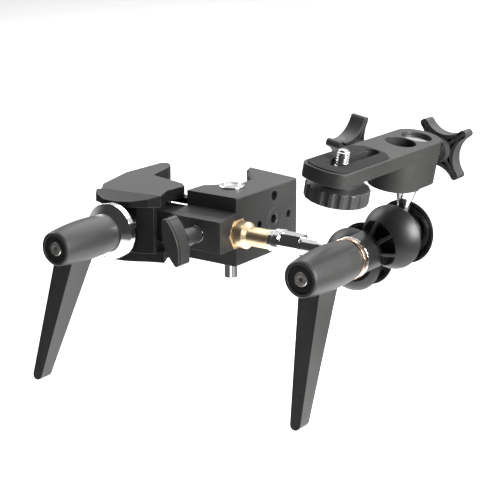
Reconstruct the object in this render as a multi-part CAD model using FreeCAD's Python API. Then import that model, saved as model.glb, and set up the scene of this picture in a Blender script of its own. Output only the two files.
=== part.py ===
import FreeCAD, Part
import math
import os
from FreeCAD import Vector

os.makedirs("parts", exist_ok=True)

# Screw-jaw pipe clamp carrying a stud, a double ball arm and a camera plate.
# Millimetres. +Z runs along the gripped pole, +X along the stud, and +Y away
# from the two ratchet levers. The origin is on the pole axis at mid height.

GAP = 0.3                  # clearance between pieces that move past each other
FIT = 0.05                 # radial clearance of a running fit

# --- clamp casting -----------------------------------------------------------
HALF_H = 20.0              # half height of both jaws
END_X = 49.1               # accessory end face
FRONT_Y = -37.4            # front of the tall block
BACK_Y = 24.0
BLOCK_LEFT = 14.6
POLE_CLEAR_R = 26.2        # the plates are cut back round the pole
V_ROOT = (29.8, 5.6)
V_TIP = (14.0, 22.6)
BACK_TIP = (10.0, 31.7)
EDGE = 0.7                 # small broken edge on machined corners
V_CHAMFER = 1.4

SOCKET_Y = -35.0           # stud axis
SOCKET_Z = -1.0
SOCKET_AF = 16.2
SOCKET_DEPTH = 27.0
NOSE_FRONT = -53.0         # socket block in front of the tall block
NOSE_TOP = 9.3
NOSE_BOTTOM = -9.0
NOSE_RISE = 11.6           # its top where it meets the tall block

TONGUE_LEFT = -21.0        # tongue that carries the spindle nut
TONGUE_FRONT = -50.0
TONGUE_BACK = -31.0
TONGUE_HALF = 9.0

HINGE = (30.6, -15.8)      # jaw hinge pin
HINGE_R = 4.5
KNUCKLE_R = 8.2
FORK_IN = 9.7              # each jaw fork runs between these heights
FORK_OUT = 13.2
HINGE_HEAD_R = 7.5
HINGE_HEAD_H = 1.3
HINGE_DISH_R = 5.6
CLIP_H = 1.2

INSERT_Y = 0.6             # accessory thread in the end face
INSERT_R = 7.0
INSERT_BORE_R = 2.75
INSERT_LEN = 12.0
SIDE_HOLE_R = 2.35
SIDE_PITCH = 30.0
TALL_HOLE_R = 3.0
TALL_PITCH = 28.0
ACCESSORY_HOLE_DEPTH = 9.0

PIN_X = 41.5               # spring pin that keeps the stud in the socket
PIN_Y = -32.3
PIN_R = 3.7
PIN_TOP = -9.3
PIN_BOTTOM = -28.0
PIN_SEAT = -14.0           # collar height where the pin spring sits

# --- moving jaw --------------------------------------------------------------
PLATE_IN = 13.4            # inner face of the jaw's two plates
RIM_TOP = 16.6             # height of the plate's rim in front of the facet
JAW_BODY = [(-28.4, -61.9), (-35.1, -52.8), (-43.0, -21.9), (-42.0, 10.6),
            (-38.6, 12.9), (-33.5, 9.0), (-30.2, 2.2), (-25.2, -18.7),
            (-11.3, -22.0), (2.0, -25.6), (6.9, -29.8), (5.9, -45.3), (10.8, -57.1)]
JAW_BULGE = [(10.8, -57.1), (5.5, -62.5), (-3.0, -67.5), (-12.0, -70.0),
             (-20.0, -70.2), (-29.0, -66.5), (-31.0, -63.5), (-28.4, -61.9)]
JAW_BULGE_LOW = [(10.8, -54.6), (1.2, -58.4), (-5.0, -61.9), (-11.3, -64.3),
                 (-18.0, -65.4), (-25.9, -65.0), (-28.4, -61.9)]
WEB_FRONT = -64.0
WEB_BACK = -57.5
SEAT_RIB_X = 6.0           # crowned ribs the cup washer bears on
SEAT_RIB_LOW = 5.8
SEAT_RIB_HIGH = 8.4
SEAT_TOP = -74.05
SEAT_CROWN_R = 20.0
WEB_SLOT_X = 10.0
WEB_SLOT_Z = 5.6

# --- ratchet levers ----------------------------------------------------------
SPINDLE_X = -12.0
SPINDLE_Z = 0.0
SPINDLE_R = 5.0
SPINDLE_TIP = -30.0
HUB_LEN = 42.0
HUB_FRONT_R = 9.7
HUB_MID_R = 11.5
HUB_REAR_R = 10.75
HUB_FRONT_CLAMP = -121.0
HUB_FRONT_ARM = -110.9
CAP_RECESS_R = 7.5
CAP_RECESS = 2.0
CAP_R = 7.2
CAP_HOLE_R = 4.2
SCREW_HEAD_R = 3.95
SCREW_HEAD_H = 4.0
SCREW_SHANK_R = 2.4
SCREW_SETBACK = 0.4        # head sits this far behind the hub's front face
HEX_KEY_AF = 2.8
SPRING_BORE_R = 5.4
LEVER_COIL_R = 3.9
LEVER_WIRE_R = 0.5
LEVER_TURNS = 5.0
SPRING_BORE_END = 15.0
SHOULDER_END = 17.0        # inner shoulder that the lever spring pushes on
SPLINE_R = 5.4
SPLINE_END_GAP = 0.4
SPLINE_INSERT_R = 7.6
ARM_TOP_X = 12.4
ARM_TOP_Y = 17.4
ARM_TIP_X = 6.2
ARM_TIP_Y = 8.0
ARM_SET_BACK = 8.5         # arm front behind the hub front, at its root
ARM_ROOT = 8.0
ARM_REACH = 78.3
ARM_LEAN = 9.8             # degrees outward
CLAMP_LEVER_TURN = 10.4    # degrees about Y as drawn
ARM_LEVER_TURN = 0.0
LIFT = 4.0                 # lever lifts this far to be re-indexed

CUP_R = 16.0
CUP_FRONT_R = 11.4
CUP_FRONT = -78.7
CUP_SHOULDER = -75.4
CUP_RIM = -71.8
CUP_WALL = 1.8
CUP_FLOOR = -74.5

NUT_R = 7.6

# --- socket lock knob --------------------------------------------------------
LOCK_X = 33.3
LOCK_Z = 0.7
LOCK_SHAFT_R = 4.0
LOCK_BAR_LEN = 27.5
LOCK_BAR_W = 9.4
LOCK_BAR_TIP = 1.9         # half width where the rounded tips begin
LOCK_BAR_FRONT = -78.0
LOCK_BAR_BACK = -67.0
LOCK_BAR_TURN = -18.5
LOCK_RING_R = 4.9
LOCK_BAR_EDGE = 0.8
LOCK_SEAM_Y = 1.5
LOCK_SEAM_W = 0.5
LOCK_SEAM_DEPTH = 0.6
LOCK_RING_H = 1.2
LOCK_PAD_T = 2.1
LOCK_NECK_R = 5.3
LOCK_NECK_END_R = 4.5
LOCK_BORE_DEPTH = 6.0

# --- stud and lower ball stem ------------------------------------------------
STUD_COLLAR_R = 7.7
STUD_COLLAR_END = 57.6
STUD_NECK_R = 5.5
STUD_END = 71.3
STUD_HEX_AF = 16.1
STEM_RING_R = 6.2
STEM_FLANGE_R = 7.3
STEM_HEX_AF = 11.7
STEM_HEX_START = 80.0
STEM_HEX_END = 92.0
STEM_RING_END = 75.0
STEM_THIN_R = 5.0
STEM_THIN_END = 103.0
STEM_NECK_R = 4.2
THREAD_R = 4.6             # thread between stud and stem

# --- double ball arm ---------------------------------------------------------
BALL_1 = (128.0, -35.0, -1.0)
BALL_2 = (151.3, -35.0, 15.0)
BALL_R = 10.6
SHELL_R = 18.5
SHELL_GAP = 13.6           # rim to rim
SEAT_CLEAR = 0.05
SEAT_BOSS_R = 9.6          # cup that holds each ball inside a shell
DISH_R = 16.0
DISH_IN_R = 12.4
DISH_DEPTH = 4.2
COLLAR_R = 10.3
COLLAR_END = -62.6
POCKET_UP = 4.9            # floor of the hollow round the collar, above the rim
POCKET_IN_R = 12.6
POCKET_MID_R = 16.5
POCKET_R = 22.0
POCKET_RISE = 6.2
RIB_T = 1.8
RIB_SPREAD = 31.0
BOLT_R = 3.0
BACK_BOSS_R = 9.0
BACK_BOSS_END = -12.5
BACK_NUT_AF = 10.0
BACK_NUT_H = 5.0
ARM_WASHER_R = 11.0
COPPER_T = 3.4
STEEL_T = 1.8
ARM_STACK_END = -68.0      # lever side of the two washers

# --- camera plate, measured from ball 2 along its own stem -------------------
HEAD_TILT = 9.8            # degrees about Y
TOP_U = 53.9
PLATE_T = 7.0
BLOCK_T = 22.7
HALF_W = 12.4
BLOCK_BACK = 13.4
BLOCK_FRONT = -30.4
PLATE_END = -89.0          # corners of the bowed outer end
END_BOW = 3.4
END_CORNER_R = 6.5
HEAD_HEX_TWIST = 20.0
PAD_CORNER_CUT = 5.0
PAD_CORNER_R = 2.5
BORE_R = 8.05
BORE_EMPTY_Y = -16.5
HEAD_STUD_R = 8.0
HEAD_STUD_TOP_DROP = 1.6   # stud top below the plate's top
HEAD_STUD_LOW = 31.0
HEAD_HEX_AF = 11.2
HEAD_HEX_LOW = 25.5
HEAD_CONE_LOW = 16.5
HEAD_NECK_R = 3.5
GROOVE_R = 6.2
GROOVE_HALF = 4.6
PAD_T = 1.6
PAD_PROUD = 0.5
PAD_INSET = 1.6
PAD_INNER_Y = -41.0
SLOT_HALF_W = 4.3
SLOT_NEAR = -46.0          # centres of the slot's round ends
SLOT_FAR = -78.5
CAM_Y = -72.3
CAM_SCREW_R = 3.175
CAM_PROUD = 6.2
CAM_SHOULDER_R = 4.1
CAM_HEAD_UP = 2.0          # screw's lower end above the knob's face
CAM_WASHER_R = 9.0
CAM_WASHER_T = 4.2
KNOB_R = 15.8
KNOB_T = 7.4
KNOB_FLUTES = 18
FLUTE_R = 2.6
FLUTE_DEPTH = 0.9
KNOB_RECESS = 1.5
BUTTON_R = 8.2
BUTTON_PROUD = 2.6

# --- star knobs --------------------------------------------------------------
STAR_R = 18.5
STAR_TIP_HALF = 7.5        # half angle of a tip, degrees
STAR_IN_R = 8.6
STAR_T = 8.6
STAR_BOSS_R = 6.6
STAR_SCREW_R = 3.0
STAR_DROP = 12.4           # screw axis below the plate's top
STAR_1_GAP = 15.5
STAR_2_GAP = 12.0          # bare screw between the block and the star
STAR_1_TURN = 45.0
STAR_2_TURN = 20.0
STAR_TIP_R = 1.9           # rounding of each arm's corners
STAR_EDGE_R = 0.8
STAR_BORE_END = 6.1
BORE_GAP = 0.02            # round a screw moulded into its knob
TIP_R = 2.6
TIP_LEN = 3.0


def vec(point):
    return Vector(point[0], point[1], point[2])


def prism(points, low, high):
    """Upright prism from a list of (x, y) corners."""
    corners = [Vector(x, y, low) for x, y in points]
    corners.append(corners[0])
    face = Part.Face(Part.makePolygon(corners))
    return face.extrude(Vector(0, 0, high - low))


def box(x0, x1, y0, y1, z0, z1):
    return Part.makeBox(x1 - x0, y1 - y0, z1 - z0, Vector(x0, y0, z0))


def rod_x(radius, x0, x1, y, z):
    return Part.makeCylinder(radius, x1 - x0, Vector(x0, y, z), Vector(1, 0, 0))


def rod_y(radius, y0, y1, x, z):
    return Part.makeCylinder(radius, y1 - y0, Vector(x, y0, z), Vector(0, 1, 0))


def rod_z(radius, z0, z1, x, y):
    return Part.makeCylinder(radius, z1 - z0, Vector(x, y, z0), Vector(0, 0, 1))


def turned_y(profile, x, z):
    """Solid of revolution about a line parallel to Y; profile is (radius, y)."""
    corners = [Vector(x + r, y, z) for r, y in profile]
    corners.append(corners[0])
    face = Part.Face(Part.makePolygon(corners))
    return face.revolve(Vector(x, 0, z), Vector(0, 1, 0), 360)


def turned_x(profile, y, z):
    """Solid of revolution about a line parallel to X; profile is (x, radius)."""
    corners = [Vector(x, y + r, z) for x, r in profile]
    corners.append(corners[0])
    face = Part.Face(Part.makePolygon(corners))
    return face.revolve(Vector(0, y, z), Vector(1, 0, 0), 360)


def turned_z(profile, x, y):
    """Solid of revolution about a line parallel to Z; profile is (radius, z)."""
    corners = [Vector(x + r, y, z) for r, z in profile]
    corners.append(corners[0])
    face = Part.Face(Part.makePolygon(corners))
    return face.revolve(Vector(x, y, 0), Vector(0, 0, 1), 360)


def hexagon(across_flats, length, base, axis, twist=0.0):
    """Hexagonal bar that starts at base and runs along axis."""
    radius = across_flats / math.sqrt(3.0)
    corners = []
    for k in range(7):
        a = math.radians(60.0 * k + twist)
        corners.append(Vector(radius * math.cos(a), radius * math.sin(a), 0))
    bar = Part.Face(Part.makePolygon(corners)).extrude(Vector(0, 0, length))
    bar.Placement = FreeCAD.Placement(base, FreeCAD.Rotation(Vector(0, 0, 1), axis))
    return bar


def coil(radius, wire_r, start, end, turns, x, z):
    """Helical spring along a line parallel to Y."""
    length = end - start - 2 * wire_r
    helix = Part.makeHelix(length / turns, length, radius)
    ring = Part.Wire([Part.makeCircle(wire_r, Vector(radius, 0, 0), Vector(0, 1, 0))])
    body = Part.Wire(helix).makePipeShell([ring], True, True)
    body.rotate(Vector(0, 0, 0), Vector(1, 0, 0), -90)
    body.translate(Vector(x, start + wire_r, z))
    return body


def fused(*shapes):
    """Union with seams removed."""
    return shapes[0].fuse(list(shapes[1:])).removeSplitter()


def both(shape):
    """A shape together with its mirror image below mid height."""
    return [shape, shape.mirror(Vector(0, 0, 0), Vector(0, 0, 1))]


# --- clamp -------------------------------------------------------------------

def v_chamfer(low, high):
    """Wedge that breaks the top or bottom edge of the V face."""
    dx = V_TIP[0] - V_ROOT[0]
    dy = V_TIP[1] - V_ROOT[1]
    run = math.hypot(dx, dy)
    nx = -dy / run
    ny = dx / run
    corners = [Vector(V_ROOT[0], V_ROOT[1], high), Vector(V_ROOT[0], V_ROOT[1], low),
               Vector(V_ROOT[0] - nx * V_CHAMFER, V_ROOT[1] - ny * V_CHAMFER, high)]
    corners.append(corners[0])
    face = Part.Face(Part.makePolygon(corners))
    return face.extrude(Vector(dx, dy, 0))


def clamp_casting():
    outline = [(END_X, FRONT_Y), (END_X, BACK_Y), BACK_TIP, V_TIP, V_ROOT,
               (V_ROOT[0], -4.0), (BLOCK_LEFT, -8.0), (BLOCK_LEFT, FRONT_Y)]
    tall = prism(outline, -HALF_H, HALF_H)
    tall = tall.makeChamfer(EDGE, [e for e in tall.Edges if abs(e.BoundBox.XMin - END_X) < 0.01
                                   and e.BoundBox.ZLength < 1.0])
    tall = tall.cut(rod_z(POLE_CLEAR_R, -HALF_H, HALF_H, 0, 0).common(
        box(0, V_ROOT[0], -40, -1, -HALF_H, HALF_H)))
    nose = [Vector(BLOCK_LEFT, NOSE_FRONT, NOSE_BOTTOM), Vector(BLOCK_LEFT, NOSE_FRONT, NOSE_TOP),
            Vector(BLOCK_LEFT, FRONT_Y + 1, NOSE_RISE), Vector(BLOCK_LEFT, FRONT_Y + 1, NOSE_BOTTOM)]
    nose.append(nose[0])
    nose_block = Part.Face(Part.makePolygon(nose)).extrude(Vector(END_X - BLOCK_LEFT, 0, 0))
    tongue = box(TONGUE_LEFT, BLOCK_LEFT + 1, TONGUE_FRONT, TONGUE_BACK, -TONGUE_HALF, TONGUE_HALF)
    body = fused(tall, nose_block, tongue)
    cuts = []
    # fork slots for the moving jaw's two hinge ears
    slot = prism([(HINGE[0], HINGE[1] + 10.5), (0, 6), (0, -34.4), (8, -34.4),
                  (HINGE[0], HINGE[1] - 9.6)], FORK_IN - GAP, FORK_OUT + GAP)
    knuckle = rod_z(KNUCKLE_R + 1.2, FORK_IN - GAP, FORK_OUT + GAP, HINGE[0], HINGE[1])
    cuts += both(slot) + both(knuckle)
    cuts.append(rod_z(HINGE_R + FIT, -HALF_H - 1, HALF_H + 1, HINGE[0], HINGE[1]))
    # hexagonal stud socket with its lead-in chamfer
    cuts.append(hexagon(SOCKET_AF, SOCKET_DEPTH + 1, Vector(END_X - SOCKET_DEPTH, SOCKET_Y, SOCKET_Z),
                        Vector(1, 0, 0), 90))
    cuts.append(rod_y(LOCK_SHAFT_R + FIT, NOSE_FRONT - 1, SOCKET_Y - 6, LOCK_X, LOCK_Z))
    cuts.append(rod_z(PIN_R + FIT, -HALF_H - 1, SOCKET_Z - 5, PIN_X, PIN_Y))
    cuts.append(rod_x(INSERT_R + 0.02, END_X - INSERT_LEN, END_X + 1, INSERT_Y, 0))
    for side in (-1, 1):
        y = INSERT_Y + side * SIDE_PITCH / 2
        cuts.append(rod_x(SIDE_HOLE_R, END_X - ACCESSORY_HOLE_DEPTH, END_X + 1, y, 0))
        z = side * TALL_PITCH / 2
        cuts.append(rod_x(TALL_HOLE_R, END_X - ACCESSORY_HOLE_DEPTH, END_X + 1, INSERT_Y, z))
    cuts.append(rod_y(NUT_R, TONGUE_FRONT - 1, TONGUE_BACK + 1, SPINDLE_X, SPINDLE_Z))
    cuts += both(v_chamfer(HALF_H - V_CHAMFER, HALF_H))
    return body.cut(cuts).removeSplitter()


def accessory_insert():
    mouth = INSERT_BORE_R + 0.6
    return turned_x([(END_X - INSERT_LEN, INSERT_BORE_R), (END_X - 0.6, INSERT_BORE_R),
                     (END_X, mouth), (END_X, INSERT_R - 0.5), (END_X - 0.5, INSERT_R),
                     (END_X - INSERT_LEN, INSERT_R)], INSERT_Y, 0)


def hinge_pin():
    low = -HALF_H - CLIP_H - 0.8
    top = HALF_H + HINGE_HEAD_H
    return turned_z([(0, low), (HINGE_R, low), (HINGE_R, -HALF_H - CLIP_H), (3.6, -HALF_H - CLIP_H),
                     (3.6, -HALF_H), (HINGE_R, -HALF_H), (HINGE_R, HALF_H), (HINGE_HEAD_R, HALF_H),
                     (HINGE_HEAD_R, top - 0.5), (HINGE_HEAD_R - 0.5, top), (HINGE_DISH_R, top),
                     (HINGE_DISH_R - 0.7, top - 0.8), (0, top - 0.8)], HINGE[0], HINGE[1])


def hinge_clip():
    ring = rod_z(7.0, -HALF_H - CLIP_H, -HALF_H, HINGE[0], HINGE[1])
    ring = ring.cut(rod_z(3.62, -HALF_H - 2, -HALF_H + 1, HINGE[0], HINGE[1]))
    mouth = box(HINGE[0], HINGE[0] + 9, HINGE[1] - 2.6, HINGE[1] + 2.6, -HALF_H - 2, -HALF_H + 1)
    return ring.cut(mouth)


def spindle_nut():
    body = rod_y(NUT_R - 0.03, TONGUE_FRONT, TONGUE_BACK, SPINDLE_X, SPINDLE_Z)
    flange = rod_y(NUT_R + 1.0, TONGUE_BACK, TONGUE_BACK + 1.5, SPINDLE_X, SPINDLE_Z)
    bore = rod_y(SPINDLE_R + FIT, TONGUE_FRONT - 1, TONGUE_BACK + 3, SPINDLE_X, SPINDLE_Z)
    return body.fuse(flange).cut(bore)


def jaw_facet():
    """Wedge above the sloping facet that falls from the top flat to the rim."""
    left = JAW_BODY[0]
    right = JAW_BODY[-1]
    turn = math.degrees(math.atan2(right[1] - left[1], right[0] - left[0]))
    wedge_run = 14.0
    drop = (HALF_H - RIM_TOP) * wedge_run / 9.0
    corners = [Vector(-30, 0, HALF_H), Vector(-30, -wedge_run, HALF_H - drop),
               Vector(-30, -wedge_run, HALF_H + 3), Vector(-30, 0, HALF_H + 3)]
    corners.append(corners[0])
    wedge = Part.Face(Part.makePolygon(corners)).extrude(Vector(90, 0, 0))
    wedge.rotate(Vector(0, 0, 0), Vector(0, 0, 1), turn)
    wedge.translate(Vector(left[0], left[1], 0))
    return wedge


def moving_jaw():
    outline = JAW_BODY[:-1] + JAW_BULGE[:-1]
    top = prism(outline, PLATE_IN, HALF_H).cut(jaw_facet())
    low_outline = JAW_BODY[:-1] + JAW_BULGE_LOW[:-1]
    bottom = prism(low_outline, -HALF_H, -PLATE_IN)
    lap = PLATE_IN + 0.4
    web = prism([(8.0, WEB_BACK), (8.0, WEB_BACK - 2.5), (-1.0, WEB_FRONT), (-27.0, WEB_FRONT),
                 (-33.0, -56.0), (-40.5, -24.0), (-37.0, -24.0), (-29.5, WEB_BACK)], -lap, lap)
    grip = prism([(-30.2, 2.2), (-25.2, -18.7), (-24.0, -24.0), (-29.5, -22.0), (-34.5, 0.5),
                  (-35.5, 6.0), (-33.5, 9.0)], -lap, lap)
    ear_in = FORK_IN
    ear_out = FORK_OUT
    ear = prism([(HINGE[0], HINGE[1] - KNUCKLE_R), (8.0, -31.0), (0.0, -31.0), (0.0, -25.6),
                 (12.0, -22.9), (24.0, -13.2), (HINGE[0], HINGE[1])], ear_in, ear_out)
    knuckle = rod_z(KNUCKLE_R, ear_in, ear_out, HINGE[0], HINGE[1])
    root = prism([(5.0, -31.0), (-6.0, -31.0), (-6.0, -24.4), (5.0, -26.0)], ear_in, lap)
    ears = both(ear) + both(knuckle) + both(root)
    crown = rod_z(SEAT_CROWN_R, -SEAT_RIB_HIGH, SEAT_RIB_HIGH, SPINDLE_X, SEAT_TOP + SEAT_CROWN_R)
    rib = box(SPINDLE_X - SEAT_RIB_X, SPINDLE_X + SEAT_RIB_X, SEAT_TOP - 1, WEB_FRONT + 1,
              SEAT_RIB_LOW, SEAT_RIB_HIGH)
    ribs = [piece.common(crown) for piece in both(rib)]
    jaw = fused(top, bottom, web, grip, *ears, *ribs)
    slot = box(SPINDLE_X - WEB_SLOT_X, SPINDLE_X + WEB_SLOT_X, SEAT_TOP, WEB_BACK + 1,
               -WEB_SLOT_Z, WEB_SLOT_Z)
    bore = rod_z(HINGE_R + FIT, -HALF_H, HALF_H, HINGE[0], HINGE[1])
    return jaw.cut([slot, bore]).removeSplitter()


def cup_washer():
    return turned_y([(SPINDLE_R + FIT, CUP_FRONT), (CUP_FRONT_R, CUP_FRONT), (CUP_R, CUP_SHOULDER),
                     (CUP_R, CUP_RIM), (CUP_R - CUP_WALL, CUP_RIM), (CUP_R - CUP_WALL, CUP_FLOOR),
                     (SPINDLE_R + FIT, CUP_FLOOR)], SPINDLE_X, SPINDLE_Z)


def clamp_spindle():
    """Threaded spindle with a splined head that the lever grips."""
    rear = HUB_FRONT_CLAMP + HUB_LEN
    head = HUB_FRONT_CLAMP + SHOULDER_END + SPLINE_END_GAP
    tip = SPINDLE_TIP
    body = turned_y([(0, head), (SPLINE_R, head), (SPLINE_R, rear - 2), (9.6, rear - 2),
                     (9.6, CUP_FRONT - 0.05), (SPINDLE_R, CUP_FRONT - 0.05),
                     (SPINDLE_R, tip - 1), (SPINDLE_R - 1, tip), (0, tip)], SPINDLE_X, SPINDLE_Z)
    return body.cut(rod_y(SCREW_SHANK_R, head - 1, head + 12, SPINDLE_X, SPINDLE_Z))


# --- ratchet lever, drawn at its own hub: front face y = 0, rear y = HUB_LEN --

def hub_barrel():
    curve = Part.Arc(Vector(HUB_FRONT_R, 1.0, 0), Vector(HUB_MID_R, 22.0, 0),
                     Vector(HUB_REAR_R, HUB_LEN, 0)).toShape()
    edges = [curve,
             Part.makeLine(Vector(HUB_REAR_R, HUB_LEN, 0), Vector(0, HUB_LEN, 0)),
             Part.makeLine(Vector(0, HUB_LEN, 0), Vector(0, 0, 0)),
             Part.makeLine(Vector(0, 0, 0), Vector(HUB_FRONT_R - 0.8, 0, 0)),
             Part.makeLine(Vector(HUB_FRONT_R - 0.8, 0, 0), Vector(HUB_FRONT_R, 1.0, 0))]
    return Part.Face(Part.Wire(edges)).revolve(Vector(0, 0, 0), Vector(0, 1, 0), 360)


def arm_front():
    """Front outline of the arm: straight flanks that run into a round end."""
    tip = ARM_TIP_X / 2
    low = -ARM_REACH + tip
    half = ARM_TOP_X / 2
    right = Vector(tip, 0, low)
    left = Vector(-tip, 0, low)
    edges = [Part.makeLine(Vector(half, 0, -ARM_ROOT), right),
             Part.Arc(right, Vector(0, 0, -ARM_REACH), left).toShape(),
             Part.makeLine(left, Vector(-half, 0, -ARM_ROOT)),
             Part.makeLine(Vector(-half, 0, -ARM_ROOT), Vector(-half, 0, -2)),
             Part.makeLine(Vector(-half, 0, -2), Vector(half, 0, -2)),
             Part.makeLine(Vector(half, 0, -2), Vector(half, 0, -ARM_ROOT))]
    return Part.Face(Part.Wire(edges))


def lever_arm():
    """Tapered arm that leans outward from the hub."""
    slope = math.tan(math.radians(ARM_LEAN))
    front_tip = ARM_SET_BACK - slope * (ARM_REACH - ARM_ROOT)
    side = [Vector(-10, ARM_SET_BACK, -2), Vector(-10, ARM_SET_BACK, -ARM_ROOT),
            Vector(-10, front_tip, -ARM_REACH), Vector(-10, front_tip + ARM_TIP_Y, -ARM_REACH),
            Vector(-10, ARM_SET_BACK + ARM_TOP_Y, -ARM_ROOT), Vector(-10, ARM_SET_BACK + ARM_TOP_Y, -2)]
    side.append(side[0])
    profile = Part.Face(Part.makePolygon(side)).extrude(Vector(20, 0, 0))
    front = arm_front()
    front.translate(Vector(0, -20, 0))
    return front.extrude(Vector(0, 60, 0)).common(profile)


def lever_handle():
    body = hub_barrel().fuse(lever_arm()).removeSplitter()
    cuts = [rod_y(CAP_RECESS_R, -1, CAP_RECESS, 0, 0),
            rod_y(SPRING_BORE_R, 0, SPRING_BORE_END, 0, 0),
            rod_y(SCREW_SHANK_R + 0.4, 0, SHOULDER_END + 1, 0, 0),
            rod_y(SPLINE_INSERT_R + 0.02, SHOULDER_END, HUB_LEN - 3, 0, 0),
            rod_y(9.9, HUB_LEN - 3, HUB_LEN + 1, 0, 0)]
    return body.cut(cuts)


def lever_insert():
    """Splined bush moulded into the lever."""
    bush = rod_y(SPLINE_INSERT_R, SHOULDER_END, HUB_LEN - 3, 0, 0)
    return bush.cut(rod_y(SPLINE_R + FIT, SHOULDER_END - 1, HUB_LEN, 0, 0))


def lever_cap():
    """Dark trim ring round the screw head."""
    front = 0.5
    ring = rod_y(CAP_R, front, CAP_RECESS, 0, 0)
    return ring.cut(rod_y(CAP_HOLE_R, -1, CAP_RECESS + 1, 0, 0))


def lever_screw():
    """Socket screw that keeps the lever and its spring on the spindle."""
    head_end = SCREW_SETBACK + SCREW_HEAD_H
    tip = SHOULDER_END + SPLINE_END_GAP + 10.0
    body = turned_y([(0, SCREW_SETBACK), (SCREW_HEAD_R - 0.4, SCREW_SETBACK),
                     (SCREW_HEAD_R, SCREW_SETBACK + 0.4), (SCREW_HEAD_R, head_end),
                     (SCREW_SHANK_R - 0.03, head_end), (SCREW_SHANK_R - 0.03, tip), (0, tip)], 0, 0)
    key = hexagon(HEX_KEY_AF, 2.6, Vector(0, SCREW_SETBACK - 0.2, 0), Vector(0, 1, 0))
    return body.cut(key)


def lever_spring():
    start = SCREW_SETBACK + SCREW_HEAD_H + 0.1
    return coil(LEVER_COIL_R, LEVER_WIRE_R, start, SPRING_BORE_END - 0.1, LEVER_TURNS, 0, 0)


def at_clamp_hub(shape):
    shape.translate(Vector(SPINDLE_X, HUB_FRONT_CLAMP, SPINDLE_Z))
    return shape


def on_clamp(shape):
    shape.rotate(Vector(0, 0, 0), Vector(0, 1, 0), CLAMP_LEVER_TURN)
    return at_clamp_hub(shape)


def on_arm(shape):
    shape.rotate(Vector(0, 0, 0), Vector(0, 1, 0), ARM_LEVER_TURN)
    shape.translate(Vector(arm_x(), HUB_FRONT_ARM, arm_z()))
    return shape


def arm_x():
    return (BALL_1[0] + BALL_2[0]) / 2


def arm_z():
    return (BALL_1[2] + BALL_2[2]) / 2


# --- socket lock and stud ----------------------------------------------------

def lens(inset, y0, y1):
    """Lens-shaped outline of the bar, drawn along X and extruded along Y."""
    half = LOCK_BAR_LEN / 2 - inset
    shoulder = half - LOCK_BAR_TIP
    side = LOCK_BAR_W / 2 - inset
    tip = LOCK_BAR_TIP - inset / 2
    corners = [Vector(-shoulder, y0, tip), Vector(shoulder, y0, tip), Vector(shoulder, y0, -tip),
               Vector(-shoulder, y0, -tip)]
    middles = [Vector(0, y0, side), Vector(half, y0, 0), Vector(0, y0, -side), Vector(-half, y0, 0)]
    edges = []
    for k in range(4):
        edges.append(Part.Arc(corners[k], middles[k], corners[(k + 1) % 4]).toShape())
    return Part.Face(Part.Wire(edges)).extrude(Vector(0, y1 - y0, 0))


def lock_bar():
    """Bar of the knob, with the seam behind its face plate."""
    bar = lens(0, LOCK_BAR_FRONT, LOCK_BAR_BACK)
    bar = bar.makeFillet(1.5, [e for e in bar.Edges if e.BoundBox.YLength > 5])
    bar = bar.makeFillet(LOCK_BAR_EDGE, [e for e in bar.Edges if e.BoundBox.YLength < 0.01])
    seam = LOCK_BAR_FRONT + LOCK_SEAM_Y
    groove = box(-LOCK_BAR_LEN, LOCK_BAR_LEN, seam, seam + LOCK_SEAM_W, -LOCK_BAR_W, LOCK_BAR_W)
    return bar.cut(groove.cut(lens(LOCK_SEAM_DEPTH, seam - 1, seam + 2)))


def lock_knob():
    bar = lock_bar()
    bar.rotate(Vector(0, 0, 0), Vector(0, 1, 0), 90 + LOCK_BAR_TURN)
    bar.translate(Vector(LOCK_X, 0, LOCK_Z))
    bore = LOCK_SHAFT_R + BORE_GAP
    neck_end = NOSE_FRONT - LOCK_RING_H - 0.5
    neck = turned_y([(0, LOCK_BAR_BACK - 1), (LOCK_NECK_R, LOCK_BAR_BACK - 1),
                     (LOCK_NECK_R, LOCK_BAR_BACK + 3), (LOCK_NECK_END_R, neck_end), (0, neck_end)],
                    LOCK_X, LOCK_Z)
    hole = rod_y(bore, LOCK_BAR_BACK - LOCK_BORE_DEPTH - BORE_GAP, neck_end + 1, LOCK_X, LOCK_Z)
    return bar.fuse(neck).cut(hole)


def lock_tip():
    """Where the lock pad meets the corner of the stud's hexagon."""
    return SOCKET_Y - STUD_HEX_AF / math.sqrt(3.0) - 0.1


def lock_screw():
    head = LOCK_BAR_BACK - LOCK_BORE_DEPTH
    tip = lock_tip() - LOCK_PAD_T - 0.1
    return rod_y(LOCK_SHAFT_R, head, tip, LOCK_X, LOCK_Z)


def lock_ring():
    """Bright collar where the lock screw enters the casting."""
    return rod_y(LOCK_RING_R, NOSE_FRONT - LOCK_RING_H, NOSE_FRONT, LOCK_X, LOCK_Z).cut(
        rod_y(LOCK_SHAFT_R + FIT, NOSE_FRONT - 3, NOSE_FRONT + 1, LOCK_X, LOCK_Z))


def lock_pad():
    """Soft pad between the lock screw and the stud."""
    return rod_y(LOCK_SHAFT_R - 0.6, lock_tip() - LOCK_PAD_T, lock_tip(), LOCK_X, LOCK_Z)


def socket_pin():
    mid = PIN_R - 1.2
    body = turned_z([(0, PIN_BOTTOM), (PIN_R, PIN_BOTTOM), (PIN_R, PIN_SEAT), (mid, PIN_SEAT),
                     (mid, PIN_TOP), (0, PIN_TOP)], PIN_X, PIN_Y)
    slot = box(PIN_X - PIN_R - 1, PIN_X + PIN_R + 1, PIN_Y - 0.5, PIN_Y + 0.5,
               PIN_BOTTOM - 1, PIN_BOTTOM + 7.4)
    slot.rotate(Vector(PIN_X, PIN_Y, 0), Vector(0, 0, 1), -55)
    return body.cut(slot)


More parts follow.
